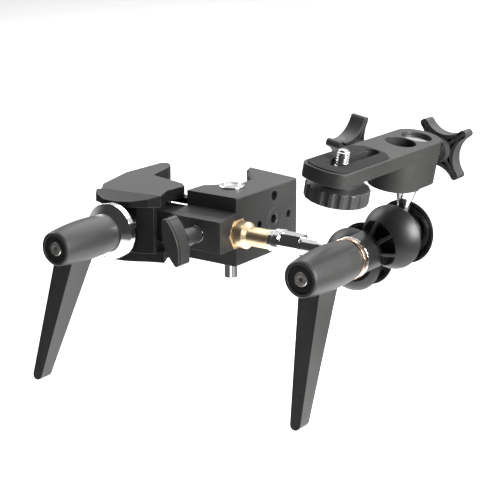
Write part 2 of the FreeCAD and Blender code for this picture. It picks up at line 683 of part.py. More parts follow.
def stud():
    """Brass stud: hexagonal shank, round collar and plain nose."""
    shank_start = END_X - SOCKET_DEPTH + 0.5
    shank = hexagon(STUD_HEX_AF, END_X - shank_start, Vector(shank_start, SOCKET_Y, SOCKET_Z),
                    Vector(1, 0, 0), 90)
    nose = turned_x([(END_X - 0.5, 0), (END_X - 0.5, STUD_COLLAR_R - 0.8), (END_X + 0.6, STUD_COLLAR_R),
                     (STUD_COLLAR_END - 2.2, STUD_COLLAR_R), (STUD_COLLAR_END, STUD_NECK_R),
                     (STUD_END - 0.6, STUD_NECK_R), (STUD_END, STUD_NECK_R - 0.6), (STUD_END, 0)],
                    SOCKET_Y, SOCKET_Z)
    body = fused(shank, nose)
    groove = turned_x([(PIN_X - 4.6, 8.2), (PIN_X + 4.6, 8.2), (PIN_X + 4.6, 12.0),
                       (PIN_X - 4.6, 12.0)], SOCKET_Y, SOCKET_Z)
    thread = rod_x(THREAD_R + FIT, STUD_END - 12, STUD_END + 1, SOCKET_Y, SOCKET_Z)
    return body.cut([groove, thread])


def lower_stem():
    """Chrome stem: ring, flange, hexagon, waist and ball."""
    start = STUD_END + 0.2
    waist = turned_x([(STUD_END - 11, 0), (STUD_END - 11, THREAD_R), (start, THREAD_R),
                      (start, STEM_RING_R - 0.7), (start + 0.7, STEM_RING_R), (STEM_RING_END, STEM_RING_R),
                      (STEM_RING_END + 0.6, STEM_FLANGE_R), (STEM_HEX_START - 0.8, STEM_FLANGE_R),
                      (STEM_HEX_START, STEM_FLANGE_R - 1.2), (STEM_HEX_START, 0)], SOCKET_Y, SOCKET_Z)
    bar = hexagon(STEM_HEX_AF, STEM_HEX_END - STEM_HEX_START + 1,
                  Vector(STEM_HEX_START - 0.5, SOCKET_Y, SOCKET_Z), Vector(1, 0, 0), 90)
    thin = turned_x([(STEM_HEX_END, 0), (STEM_HEX_END, STEM_THIN_R), (STEM_THIN_END, STEM_THIN_R),
                     (STEM_THIN_END + 3, STEM_NECK_R), (BALL_1[0], STEM_NECK_R), (BALL_1[0], 0)],
                    SOCKET_Y, SOCKET_Z)
    return fused(waist, bar, thin, Part.makeSphere(BALL_R, vec(BALL_1)))


# --- double ball arm ---------------------------------------------------------

def shell(side):
    """One clamping shell; side is -1 for the lever side and 1 for the far side."""
    rim = BALL_1[1] + side * SHELL_GAP / 2
    domes = [Part.makeSphere(SHELL_R, vec(c)) for c in (BALL_1, BALL_2)]
    far = rim + side * 30
    keep = box(90, 190, min(rim, far), max(rim, far), -40, 55)
    body = domes[0].fuse(domes[1]).common(keep)
    pocket_in = rim + side * POCKET_UP
    axis_a = math.degrees(math.atan2(BALL_2[2] - BALL_1[2], BALL_2[0] - BALL_1[0]))
    low = min(pocket_in, far)
    high = max(pocket_in, far)
    brim = pocket_in + side * POCKET_RISE
    pocket = turned_y([(0, pocket_in), (POCKET_IN_R, pocket_in), (POCKET_MID_R, pocket_in + side * 1.6),
                       (POCKET_R, brim), (POCKET_R, far), (0, far)], arm_x(), arm_z())
    for k in (-1, 0, 1):
        for flip in (0, 180):
            rib = box(0, POCKET_R + 2, low - 1, high + 1, -RIB_T / 2, RIB_T / 2)
            rib.rotate(Vector(0, 0, 0), Vector(0, 1, 0), -(axis_a + k * RIB_SPREAD + flip))
            rib.translate(Vector(arm_x(), 0, arm_z()))
            pocket = pocket.cut(rib)
    pocket = pocket.cut(rod_y(COLLAR_R, low - 1, high + 1, arm_x(), arm_z()))
    body = body.cut(pocket)
    tower_end = COLLAR_END if side < 0 else BACK_BOSS_END
    tower_low = min(rim, tower_end)
    tower_high = max(rim, tower_end)
    tower_r = COLLAR_R if side < 0 else BACK_BOSS_R
    body = body.fuse(rod_y(tower_r, tower_low, tower_high, arm_x(), arm_z()))
    cuts = [rod_y(BOLT_R + FIT, tower_low - 1, tower_high + 1, arm_x(), arm_z())]
    for centre in (BALL_1, BALL_2):
        cuts.append(Part.makeSphere(BALL_R + SEAT_CLEAR, vec(centre)))
        floor = rim + side * DISH_DEPTH
        cuts.append(turned_y([(SEAT_BOSS_R, rim - side), (DISH_R, rim - side), (DISH_R, rim),
                              (DISH_IN_R, floor), (SEAT_BOSS_R, floor)], centre[0], centre[2]))
    if side > 0:
        cuts.append(hexagon(BACK_NUT_AF + 0.1, BACK_NUT_H, Vector(arm_x(), BACK_BOSS_END - 4, arm_z()),
                            Vector(0, 1, 0)))
    return body.cut(cuts).removeSplitter()


def arm_bolt():
    rear = HUB_FRONT_ARM + HUB_LEN
    head = HUB_FRONT_ARM + SHOULDER_END + SPLINE_END_GAP
    tip = BACK_BOSS_END + 3
    body = turned_y([(0, head), (SPLINE_R, head), (SPLINE_R, rear - 2), (9.6, rear - 2),
                     (9.6, ARM_STACK_END), (BOLT_R, ARM_STACK_END), (BOLT_R, tip - 1), (BOLT_R - 1, tip),
                     (0, tip)], arm_x(), arm_z())
    return body.cut(rod_y(SCREW_SHANK_R, head - 1, head + 12, arm_x(), arm_z()))


def back_nut():
    nut = hexagon(BACK_NUT_AF, BACK_NUT_H, Vector(arm_x(), BACK_BOSS_END - 3.9, arm_z()), Vector(0, 1, 0))
    return nut.cut(rod_y(BOLT_R + FIT, BACK_BOSS_END - 6, BACK_BOSS_END + 6, arm_x(), arm_z()))


def arm_washer(start, thick):
    end = start + thick
    return turned_y([(BOLT_R + FIT, start), (ARM_WASHER_R - 0.5, start), (ARM_WASHER_R, start + 0.5),
                     (ARM_WASHER_R, end - 0.5), (ARM_WASHER_R - 0.5, end), (BOLT_R + FIT, end)],
                    arm_x(), arm_z())


def copper_washer():
    return arm_washer(COLLAR_END - STEEL_T - COPPER_T - 0.1, COPPER_T)


def steel_washer():
    return arm_washer(COLLAR_END - STEEL_T - 0.05, STEEL_T)


# --- camera plate, drawn with ball 2 at the origin and its stem along Z ------

def on_head(shape):
    shape.rotate(Vector(0, 0, 0), Vector(0, 1, 0), HEAD_TILT)
    shape.translate(vec(BALL_2))
    return shape


def upper_stem():
    top = TOP_U - HEAD_STUD_TOP_DROP
    groove = TOP_U - STAR_DROP
    low = HEAD_STUD_LOW
    post = turned_z([(0, low), (HEAD_STUD_R - 0.6, low), (HEAD_STUD_R - 0.04, low + 0.6),
                     (HEAD_STUD_R - 0.04, groove - GROOVE_HALF), (GROOVE_R, groove - GROOVE_HALF + 2),
                     (GROOVE_R, groove + GROOVE_HALF - 2), (HEAD_STUD_R - 0.04, groove + GROOVE_HALF),
                     (HEAD_STUD_R - 0.04, top - 1), (HEAD_STUD_R - 1, top), (0, top)], 0, 0)
    bar = hexagon(HEAD_HEX_AF, low - HEAD_HEX_LOW + 0.5, Vector(0, 0, HEAD_HEX_LOW), Vector(0, 0, 1),
                  HEAD_HEX_TWIST)
    neck = turned_z([(0, 0), (HEAD_NECK_R, 0), (HEAD_NECK_R, HEAD_CONE_LOW),
                     (HEAD_HEX_AF / 2, HEAD_HEX_LOW + 0.2), (0, HEAD_HEX_LOW + 0.2)], 0, 0)
    return fused(post, bar, neck, Part.makeSphere(BALL_R))


def bowed_end(half, far, bow, inner):
    """Edges of a slab whose outer end is bowed; inner lists its inner corners."""
    start = Vector(half, far, 0)
    end = Vector(-half, far, 0)
    edges = [Part.Arc(start, Vector(0, far - bow, 0), end).toShape()]
    corners = [end] + [Vector(x, y, 0) for x, y in inner] + [start]
    for k in range(len(corners) - 1):
        edges.append(Part.makeLine(corners[k], corners[k + 1]))
    return edges


def slab(edges, low, high, corner_r, far):
    """Extrude an outline and round the two corners of its outer end."""
    body = Part.Face(Part.Wire(edges)).extrude(Vector(0, 0, high - low))
    body.translate(Vector(0, 0, low))
    corners = [e for e in body.Edges if e.BoundBox.ZLength > 0.9 * (high - low)
               and abs(e.BoundBox.YMin - far) < 0.5]
    return body.makeFillet(corner_r, corners)


def plate_slab(low, high):
    inner = BLOCK_BACK - HALF_W
    edges = bowed_end(HALF_W, PLATE_END, END_BOW, [(-HALF_W, inner), (HALF_W, inner)])
    body = slab(edges, low, high, END_CORNER_R, PLATE_END)
    return fused(body, rod_z(HALF_W, low, high, 0, inner))


def block_slab(low, high):
    near = BLOCK_BACK - HALF_W
    far = BLOCK_FRONT + HALF_W
    middle = box(-HALF_W, HALF_W, far, near, low, high)
    return fused(middle, rod_z(HALF_W, low, high, 0, near), rod_z(HALF_W, low, high, 0, far))


def pad_outline(inset, low, high):
    """Rubber pad: bowed outer end, cut inner corners softened by a radius."""
    half = HALF_W - inset
    inner = PAD_INNER_Y + PAD_INSET - inset
    cut = PAD_CORNER_CUT
    corners = [(-half, inner - cut), (-half + cut, inner), (half - cut, inner), (half, inner - cut)]
    edges = bowed_end(half, PLATE_END + inset, END_BOW, corners)
    body = slab(edges, low, high, END_CORNER_R - 1, PLATE_END + inset)
    soft = [e for e in body.Edges if e.BoundBox.ZLength > 0.9 * (high - low)
            and e.BoundBox.YMin > inner - cut - 0.5]
    return body.makeFillet(PAD_CORNER_R, soft)


def plate_slot(low, high):
    slab = box(-SLOT_HALF_W, SLOT_HALF_W, SLOT_FAR, SLOT_NEAR, low, high)
    ends = [rod_z(SLOT_HALF_W, low, high, 0, y) for y in (SLOT_FAR, SLOT_NEAR)]
    return fused(slab, *ends)


def camera_plate():
    plate = plate_slab(TOP_U - PLATE_T, TOP_U)
    plate = plate.makeFillet(0.5, [e for e in plate.Edges if e.BoundBox.ZLength < 0.01])
    block = block_slab(TOP_U - BLOCK_T, TOP_U - 1.0)
    body = fused(plate, block)
    floor = TOP_U - PAD_T + PAD_PROUD
    axis_u = TOP_U - STAR_DROP
    cuts = [rod_z(BORE_R, TOP_U - BLOCK_T - 1, TOP_U + 1, 0, 0),
            rod_z(BORE_R, TOP_U - BLOCK_T - 1, TOP_U + 1, 0, BORE_EMPTY_Y),
            plate_slot(TOP_U - PLATE_T - 1, TOP_U + 1),
            pad_outline(PAD_INSET - 0.05, floor, TOP_U + 2),
            rod_y(STAR_SCREW_R + FIT, 0, BLOCK_BACK + 2, 0, axis_u),
            rod_x(STAR_SCREW_R + FIT, -HALF_W - 2, 0, BORE_EMPTY_Y, axis_u)]
    return body.cut(cuts).removeSplitter()


def rubber_pad():
    pad = pad_outline(PAD_INSET, TOP_U - PAD_T + PAD_PROUD, TOP_U + PAD_PROUD)
    return pad.cut(plate_slot(TOP_U - 5, TOP_U + 5))


def knob_top():
    return TOP_U - PLATE_T - CAM_WASHER_T - 0.1


def camera_screw():
    tip = TOP_U + CAM_PROUD
    low = knob_top() - KNOB_T + CAM_HEAD_UP
    return turned_z([(0, low), (CAM_SHOULDER_R, low), (CAM_SHOULDER_R, TOP_U - 1.4),
                     (CAM_SCREW_R, TOP_U - 1.4), (CAM_SCREW_R, tip - 0.9), (CAM_SCREW_R - 0.9, tip),
                     (0, tip)], 0, CAM_Y)


def camera_washer():
    top = TOP_U - PLATE_T - 0.05
    return rod_z(CAM_WASHER_R, top - CAM_WASHER_T, top, 0, CAM_Y).cut(
        rod_z(CAM_SHOULDER_R + FIT, top - 5, top + 1, 0, CAM_Y))


def camera_knob():
    top = knob_top()
    low = top - KNOB_T
    disc = rod_z(KNOB_R, low, top, 0, CAM_Y)
    disc = disc.makeFillet(0.8, [e for e in disc.Edges if e.Closed])
    ring = KNOB_R + FLUTE_R - FLUTE_DEPTH
    cuts = []
    for k in range(KNOB_FLUTES):
        a = 2 * math.pi * k / KNOB_FLUTES
        cuts.append(rod_z(FLUTE_R, low - 1, top + 1, ring * math.cos(a), CAM_Y + ring * math.sin(a)))
    cuts.append(rod_z(CAM_SHOULDER_R, low + CAM_HEAD_UP, top + 1, 0, CAM_Y))
    cuts.append(rod_z(BUTTON_R, low - 1, low + KNOB_RECESS, 0, CAM_Y))
    return disc.cut(cuts)


def knob_button():
    low = knob_top() - KNOB_T
    face = low - BUTTON_PROUD
    return turned_z([(0, face), (BUTTON_R - 1.0, face), (BUTTON_R - 0.03, face + 1.0),
                     (BUTTON_R - 0.03, low + KNOB_RECESS), (0, low + KNOB_RECESS)], 0, CAM_Y)


# --- star knobs, drawn with the screw along Z and the star above its face ----

def star_face(scale):
    """Four-armed outline with hollow flanks."""
    edges = []
    for k in range(4):
        a = math.radians(90.0 * k)
        half = math.radians(STAR_TIP_HALF)
        outer = STAR_R * scale
        p0 = Vector(outer * math.cos(a - half), outer * math.sin(a - half), 0)
        p1 = Vector(outer * math.cos(a + half), outer * math.sin(a + half), 0)
        b = a + math.pi / 4
        inner = STAR_IN_R - (1 - scale) * STAR_R
        mid = Vector(inner * math.cos(b), inner * math.sin(b), 0)
        c = a + math.pi / 2 - half
        p2 = Vector(outer * math.cos(c), outer * math.sin(c), 0)
        edges.append(Part.makeLine(p0, p1))
        edges.append(Part.Arc(p1, mid, p2).toShape())
    return Part.Face(Part.Wire(edges))


def star_knob():
    body = star_face(1.0).extrude(Vector(0, 0, STAR_T))
    body = body.makeFillet(STAR_TIP_R, [e for e in body.Edges if e.BoundBox.ZLength > STAR_T - 0.1])
    body = body.makeFillet(STAR_EDGE_R, [e for e in body.Edges if e.BoundBox.ZMin > STAR_T - 0.1])
    hollow = star_face(0.88).extrude(Vector(0, 0, STAR_T - 3.0))
    boss = rod_z(STAR_BOSS_R, -4.5, STAR_T, 0, 0)
    webs = []
    for k in range(2):
        web = box(-STAR_R, STAR_R, -0.9, 0.9, 0, STAR_T)
        web.rotate(Vector(0, 0, 0), Vector(0, 0, 1), 90.0 * k)
        webs.append(web.common(body))
    body = fused(body.cut(hollow), boss, *webs)
    return body.cut(rod_z(STAR_SCREW_R + BORE_GAP, -6, STAR_BORE_END + BORE_GAP, 0, 0))


def star_screw(reach):
    return rod_z(STAR_SCREW_R, -reach, STAR_BORE_END, 0, 0)


def star_tip(reach):
    return rod_z(TIP_R, -reach - TIP_LEN, -reach - 0.1, 0, 0)


def on_star_1(shape):
    shape.rotate(Vector(0, 0, 0), Vector(0, 0, 1), STAR_1_TURN)
    shape.rotate(Vector(0, 0, 0), Vector(1, 0, 0), -90)
    shape.translate(Vector(0, BLOCK_BACK + STAR_1_GAP, TOP_U - STAR_DROP))
    return on_head(shape)


def on_star_2(shape):
    shape.rotate(Vector(0, 0, 0), Vector(0, 0, 1), STAR_2_TURN)
    shape.rotate(Vector(0, 0, 0), Vector(0, 1, 0), -90)
    shape.translate(Vector(-HALF_W - STAR_2_GAP, BORE_EMPTY_Y, TOP_U - STAR_DROP))
    return on_head(shape)


REACH_1 = BLOCK_BACK + STAR_1_GAP - GROOVE_R - 0.2 - TIP_LEN
REACH_2 = HALF_W + STAR_2_GAP - BORE_R

NODES = {
    "clamp_casting": clamp_casting,
    "accessory_insert": accessory_insert,
    "hinge_pin": hinge_pin,
    "hinge_clip": hinge_clip,
    "spindle_nut": spindle_nut,
    "moving_jaw": moving_jaw,
    "jaw_spring": lambda: coil(6.9, 0.7, WEB_BACK + 0.1, TONGUE_FRONT - 0.1, 2.5, SPINDLE_X, SPINDLE_Z),
    "cup_washer": cup_washer,
    "clamp_spindle": clamp_spindle,
    "clamp_lever": lambda: on_clamp(lever_handle()),
    "clamp_lever_insert": lambda: on_clamp(lever_insert()),
    "clamp_lever_cap": lambda: on_clamp(lever_cap()),
    "clamp_lever_screw": lambda: on_clamp(lever_screw()),
    "clamp_lever_spring": lambda: at_clamp_hub(lever_spring()),
    "lock_knob": lock_knob,
    "lock_screw": lock_screw,
    "lock_ring": lock_ring,
    "lock_pad": lock_pad,
    "socket_pin": socket_pin,
    "stud": stud,
    "lower_stem": lower_stem,
    "front_shell": lambda: shell(-1),
    "back_shell": lambda: shell(1),
    "arm_bolt": arm_bolt,
    "back_nut": back_nut,
    "copper_washer": copper_washer,
    "steel_washer": steel_washer,
    "arm_lever": lambda: on_arm(lever_handle()),
    "arm_lever_insert": lambda: on_arm(lever_insert()),
    "arm_lever_cap": lambda: on_arm(lever_cap()),
    "arm_lever_screw": lambda: on_arm(lever_screw()),
    "arm_lever_spring": lambda: on_arm(lever_spring()),
    "upper_stem": lambda: on_head(upper_stem()),
    "camera_plate": lambda: on_head(camera_plate()),
    "rubber_pad": lambda: on_head(rubber_pad()),
    "camera_screw": lambda: on_head(camera_screw()),
    "camera_washer": lambda: on_head(camera_washer()),
    "camera_knob": lambda: on_head(camera_knob()),
    "knob_button": lambda: on_head(knob_button()),
    "stud_star": lambda: on_star_1(star_knob()),
    "stud_star_screw": lambda: on_star_1(star_screw(REACH_1)),
    "stud_star_tip": lambda: on_star_1(star_tip(REACH_1)),
    "bore_star": lambda: on_star_2(star_knob()),
    "bore_star_screw": lambda: on_star_2(star_screw(REACH_2 - TIP_LEN)),
    "bore_star_tip": lambda: on_star_2(star_tip(REACH_2 - TIP_LEN)),
}

for name, make in NODES.items():
    shape = make()
    print(name, "valid", shape.isValid(), "solids", len(shape.Solids),
          "volume %.1f" % shape.Volume)
    shape.exportStep("parts/%s.step" % name)
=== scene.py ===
import math

import bmesh
import bpy
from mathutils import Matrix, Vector


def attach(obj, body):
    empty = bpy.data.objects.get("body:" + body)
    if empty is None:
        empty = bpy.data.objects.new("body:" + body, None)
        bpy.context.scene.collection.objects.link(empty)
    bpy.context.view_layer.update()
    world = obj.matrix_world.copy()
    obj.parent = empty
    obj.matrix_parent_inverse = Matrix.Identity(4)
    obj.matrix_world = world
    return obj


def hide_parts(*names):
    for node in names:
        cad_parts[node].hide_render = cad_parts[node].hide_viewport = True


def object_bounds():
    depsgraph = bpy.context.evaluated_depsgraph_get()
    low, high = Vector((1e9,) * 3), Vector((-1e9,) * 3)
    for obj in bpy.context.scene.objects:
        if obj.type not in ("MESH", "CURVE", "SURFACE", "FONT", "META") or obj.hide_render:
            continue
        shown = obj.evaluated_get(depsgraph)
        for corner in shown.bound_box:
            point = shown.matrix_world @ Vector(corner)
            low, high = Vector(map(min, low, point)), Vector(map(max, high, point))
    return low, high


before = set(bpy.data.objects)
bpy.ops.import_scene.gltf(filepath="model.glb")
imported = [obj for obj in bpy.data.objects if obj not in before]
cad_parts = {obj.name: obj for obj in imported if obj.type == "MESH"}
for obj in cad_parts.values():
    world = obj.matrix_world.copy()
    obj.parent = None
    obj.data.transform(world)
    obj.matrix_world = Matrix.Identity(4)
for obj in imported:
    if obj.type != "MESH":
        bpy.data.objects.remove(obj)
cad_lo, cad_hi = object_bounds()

# ---------------------------------------------------------------- dimensions
# Metres, in the row frame. They repeat the driving dimensions of the solids.
TILT = math.radians(9.8)                       # camera plate tilt about Y
U = Vector((math.sin(TILT), 0, math.cos(TILT)))    # up through the upper ball
XP = Vector((math.cos(TILT), 0, -math.sin(TILT)))  # across the camera plate
BALL_2 = Vector((0.1513, -0.035, 0.015))
CAM_Y = -0.0723                                # camera screw, along the plate

QUARTER_INCH_R = 0.003175
QUARTER_INCH_PITCH = 0.00127
CAM_THREAD_U = 0.0525                          # height where the thread starts
CAM_THREAD_LENGTH = 0.0076
SHOULDER_R = 0.0041                            # plain shank below the thread
SHOULDER_LENGTH = 0.0153
UNDERCUT_R = 0.0031

STAR_R = 0.003                                 # six millimetre thread
STAR_PITCH = 0.001
STAR_U = 0.0415
STUD_STAR_Y = 0.0094                           # inner end, along the plate
STUD_STAR_LENGTH = 0.0256
BORE_STAR_X = -0.01105                         # inner end, across the plate
BORE_STAR_Y = -0.0165
BORE_STAR_LENGTH = 0.01945

AROUND = 40                                    # points round a thread
RINGS_PER_PITCH = 10
THREAD_DEPTH = 0.61                            # of the pitch
CREST = 1.35                                   # above one the crest is cut flat
FLANK = 3.6                                    # fall of the flank per turn
FADE_PITCHES = 0.8                             # the thread dies out at its ends
CHAMFER_PITCHES = 0.6
CHAMFER = 0.86                                 # of the radius, at the tip

EDGE_DOT = 0.86                                # rounded against true normal, on an edge
FLAT_DOT = 0.995                               # the same, on a flat face
METAL_BEVEL = 0.00025

FLOOR_HALF = 4.0
FLOOR_DROP = 0.16                              # below the lowest point of the solids
STAGE = (0.06, -0.04)

CAMERA_PLACE = (0.52193, -0.69934, 0.22332)
CAMERA_TURN = (math.radians(74), 0, math.radians(35))    # sixteen degrees below level


def on_head(x, y, u):
    return BALL_2 + XP * x + Vector((0, y, 0)) + U * u


# ----------------------------------------------------------------- materials

def nodes_of(name):
    mat = bpy.data.materials.new(name)
    mat.use_nodes = True
    tree = mat.node_tree
    return mat, tree.nodes, tree.links, tree.nodes["Principled BSDF"]


def noise(nodes, links, coord, scale, detail=3.0, rough=0.55):
    tex = nodes.new("ShaderNodeTexNoise")
    tex.inputs["Scale"].default_value = scale
    tex.inputs["Detail"].default_value = detail
    tex.inputs["Roughness"].default_value = rough
    links.new(coord, tex.inputs["Vector"])
    return tex.outputs["Fac"]


def ramp(nodes, links, fac, stops):
    r = nodes.new("ShaderNodeValToRGB")
    el = r.color_ramp.elements
    while len(el) < len(stops):
        el.new(0.5)
    for e, (pos, col) in zip(el, stops):
        e.position = pos
        e.color = (*col, 1) if hasattr(col, "__len__") else (col, col, col, 1)
    links.new(fac, r.inputs["Fac"])
    return r.outputs["Color"]


def span(nodes, links, fac, lo, hi):
    m = nodes.new("ShaderNodeMapRange")
    m.inputs["To Min"].default_value = lo
    m.inputs["To Max"].default_value = hi
    links.new(fac, m.inputs["Value"])
    return m.outputs["Result"]


def edge_mask(nodes, links, radius):
    """0 on flat faces, 1 on rounded edges, which get worn colour and a painted edge highlight: how far
    the rounded normal leaves the true one.
    """
    bev = nodes.new("ShaderNodeBevel")
    bev.samples = 6
    bev.inputs["Radius"].default_value = radius
    geo = nodes.new("ShaderNodeNewGeometry")
    dot = nodes.new("ShaderNodeVectorMath")
    dot.operation = "DOT_PRODUCT"
    links.new(bev.outputs["Normal"], dot.inputs[0])
    links.new(geo.outputs["Normal"], dot.inputs[1])
    m = nodes.new("ShaderNodeMapRange")
    m.inputs["From Min"].default_value = FLAT_DOT
    m.inputs["From Max"].default_value = EDGE_DOT
    links.new(dot.outputs["Value"], m.inputs["Value"])
    return bev.outputs["Normal"], m.outputs["Result"]


def bumped(nodes, links, height, strength, distance, normal=None):
    b = nodes.new("ShaderNodeBump")
    b.inputs["Strength"].default_value = strength
    b.inputs["Distance"].default_value = distance
    links.new(height, b.inputs["Height"])
    if normal is not None:
        links.new(normal, b.inputs["Normal"])
    return b.outputs["Normal"]


def coated(name, dark, light, rough, grain, grain_mm, bevel_mm, wear_and_highlight, wear_and_highlight_col, coat=0.0,
           jitter=0.05, specular=0.4):
    """Painted, moulded or rubber surface: mottled colour, grain, soft edges lightened partly as wear,
    partly as a painted edge highlight.
    """
    mat, nodes, links, bsdf = nodes_of(name)
    obj = nodes.new("ShaderNodeTexCoord").outputs["Object"]
    broad = noise(nodes, links, obj, 45.0, 4.0)
    fine = noise(nodes, links, obj, 1000.0 / grain_mm, 2.0, 0.6)
    base = ramp(nodes, links, broad, [(0.3, dark), (0.7, light)])
    normal, mask = edge_mask(nodes, links, bevel_mm / 1000.0)
    # edges lightened towards the edge colour: partly worn paint, partly a painted edge highlight
    breakup = noise(nodes, links, obj, 420.0, 3.0)
    wear_and_highlight_gate = nodes.new("ShaderNodeMath")
    wear_and_highlight_gate.operation = "MULTIPLY"
    links.new(mask, wear_and_highlight_gate.inputs[0])
    links.new(span(nodes, links, breakup, wear_and_highlight * 0.4, wear_and_highlight * 1.6), wear_and_highlight_gate.inputs[1])
    mix = nodes.new("ShaderNodeMix")
    mix.data_type = "RGBA"
    mix.inputs["B"].default_value = (*wear_and_highlight_col, 1)
    links.new(wear_and_highlight_gate.outputs["Value"], mix.inputs["Factor"])
    links.new(base, mix.inputs["A"])
    links.new(mix.outputs["Result"], bsdf.inputs["Base Color"])
    links.new(span(nodes, links, fine, rough - jitter, rough + jitter), bsdf.inputs["Roughness"])
    links.new(bumped(nodes, links, fine, grain, 0.0002, normal), bsdf.inputs["Normal"])
    bsdf.inputs["Specular IOR Level"].default_value = specular
    bsdf.inputs["Coat Weight"].default_value = coat
    bsdf.inputs["Coat Roughness"].default_value = 0.12
    return mat


def metal(name, dark, light, rough, axis=None, pitch_mm=0.35, lines=0.06, smudge=0.04):
    """Plated or turned metal. axis gives the turning axis, for fine tool lines round it."""
    mat, nodes, links, bsdf = nodes_of(name)
    obj = nodes.new("ShaderNodeTexCoord").outputs["Object"]
    broad = noise(nodes, links, obj, 60.0, 4.0)
    links.new(ramp(nodes, links, broad, [(0.3, dark), (0.7, light)]), bsdf.inputs["Base Color"])
    bsdf.inputs["Metallic"].default_value = 1.0
    smear = noise(nodes, links, obj, 160.0, 5.0, 0.65)
    links.new(span(nodes, links, smear, max(0.02, rough - smudge), rough + smudge),
              bsdf.inputs["Roughness"])
    normal, _ = edge_mask(nodes, links, METAL_BEVEL)
    if axis is None:
        height = noise(nodes, links, obj, 2600.0, 2.0)
    else:
        split = nodes.new("ShaderNodeVectorMath")
        split.operation = "DOT_PRODUCT"
        split.inputs[1].default_value = axis
        links.new(obj, split.inputs[0])
        stretch = nodes.new("ShaderNodeCombineXYZ")
        links.new(split.outputs["Value"], stretch.inputs["X"])
        height = noise(nodes, links, stretch.outputs["Vector"], 1000.0 / pitch_mm, 2.0, 0.7)
    links.new(bumped(nodes, links, height, lines, 0.00012, normal), bsdf.inputs["Normal"])
    return mat


# edge colour of the cast and jaw paint: worn edges and painted edge highlight
WEAR_AND_HIGHLIGHT_GREY = (0.10, 0.10, 0.10)
cast = coated("cast_powder", (0.015, 0.015, 0.0146), (0.023, 0.0226, 0.022),
              rough=0.46, grain=0.16, grain_mm=0.6, bevel_mm=0.45, wear_and_highlight=0.5, wear_and_highlight_col=WEAR_AND_HIGHLIGHT_GREY)
jaw_paint = coated("jaw_enamel", (0.004, 0.004, 0.004), (0.007, 0.007, 0.007),
                   rough=0.34, grain=0.07, grain_mm=0.8, bevel_mm=0.6, wear_and_highlight=0.4, wear_and_highlight_col=WEAR_AND_HIGHLIGHT_GREY,
                   coat=0.1, jitter=0.03)
plate_paint = coated("plate_enamel", (0.014, 0.014, 0.0135), (0.022, 0.022, 0.021),
                     rough=0.46, grain=0.10, grain_mm=0.6, bevel_mm=0.5, wear_and_highlight=0.4,
                     wear_and_highlight_col=(0.09, 0.09, 0.09), jitter=0.04, specular=0.22)
gloss = coated("gloss_enamel", (0.004, 0.004, 0.0042), (0.007, 0.007, 0.0073),
               rough=0.42, grain=0.02, grain_mm=0.9, bevel_mm=0.6, wear_and_highlight=0.3,
               wear_and_highlight_col=(0.05, 0.05, 0.052), jitter=0.015, specular=0.32)
moulded = coated("moulded_nylon", (0.018, 0.0175, 0.017), (0.026, 0.0255, 0.025),
                 rough=0.42, grain=0.12, grain_mm=0.5, bevel_mm=0.45, wear_and_highlight=0.30,
                 wear_and_highlight_col=(0.050, 0.049, 0.048), jitter=0.04, specular=0.36)
# painted shade: a darker copy of the moulded nylon for the lever caps in their recesses
shaded = coated("recess_nylon_painted_shade", (0.004, 0.004, 0.004), (0.008, 0.008, 0.008),
                rough=0.5, grain=0.12, grain_mm=0.5, bevel_mm=0.3, wear_and_highlight=0.3,
                wear_and_highlight_col=(0.02, 0.02, 0.02), jitter=0.04, specular=0.25)
rubber = coated("pad_rubber", (0.012, 0.012, 0.0125), (0.019, 0.019, 0.0195),
                rough=0.82, grain=0.50, grain_mm=0.55, bevel_mm=0.4, wear_and_highlight=0.25,
                wear_and_highlight_col=(0.035, 0.035, 0.035), specular=0.12)

ALONG_X = (1, 0, 0)
ALONG_Y = (0, 1, 0)
CHROME_DARK = (0.76, 0.77, 0.78)
CHROME_LIGHT = (0.84, 0.845, 0.85)
chrome = metal("chrome_plate", CHROME_DARK, CHROME_LIGHT, 0.075)
chrome_x = metal("chrome_turned", CHROME_DARK, CHROME_LIGHT, 0.09,
                 axis=ALONG_X, pitch_mm=0.5, lines=0.03)
steel = metal("zinc_steel", (0.48, 0.48, 0.49), (0.62, 0.62, 0.63), 0.26)
nickel = metal("nickel_disc", (0.70, 0.68, 0.64), (0.80, 0.78, 0.74), 0.24,
               axis=ALONG_Y, pitch_mm=0.4, lines=0.04)
brass = metal("turned_brass", (0.82, 0.64, 0.40), (0.90, 0.73, 0.49), 0.36,
              axis=ALONG_X, pitch_mm=0.42, lines=0.10, smudge=0.06)
copper = metal("copper_wash", (0.60, 0.42, 0.31), (0.70, 0.50, 0.38), 0.20,
               axis=ALONG_Y, pitch_mm=0.4, lines=0.05)
bronze = metal("dark_bronze", (0.20, 0.14, 0.10), (0.30, 0.22, 0.16), 0.34)

LOOK = {
    cast: "clamp_casting accessory_insert",
    jaw_paint: "moving_jaw",
    plate_paint: "camera_plate",
    gloss: "front_shell back_shell",
    moulded: "clamp_lever arm_lever lock_knob camera_knob stud_star bore_star camera_washer lock_pad",
    shaded: "clamp_lever_cap arm_lever_cap",
    rubber: "rubber_pad",
    chrome: "cup_washer socket_pin steel_washer upper_stem",
    chrome_x: "lower_stem",
    nickel: "clamp_lever_screw arm_lever_screw",
    steel: "hinge_pin hinge_clip jaw_spring clamp_spindle clamp_lever_insert clamp_lever_spring "
           "lock_screw lock_ring arm_bolt back_nut arm_lever_insert arm_lever_spring camera_screw "
           "stud_star_screw bore_star_screw",
    brass: "stud spindle_nut stud_star_tip bore_star_tip",
    copper: "copper_washer",
    bronze: "knob_button",
}
for material, names in LOOK.items():
    for n in names.split():
        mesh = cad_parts[n].data
        mesh.materials.clear()
        mesh.materials.append(material)


# ------------------------------------------------------------- visual pieces

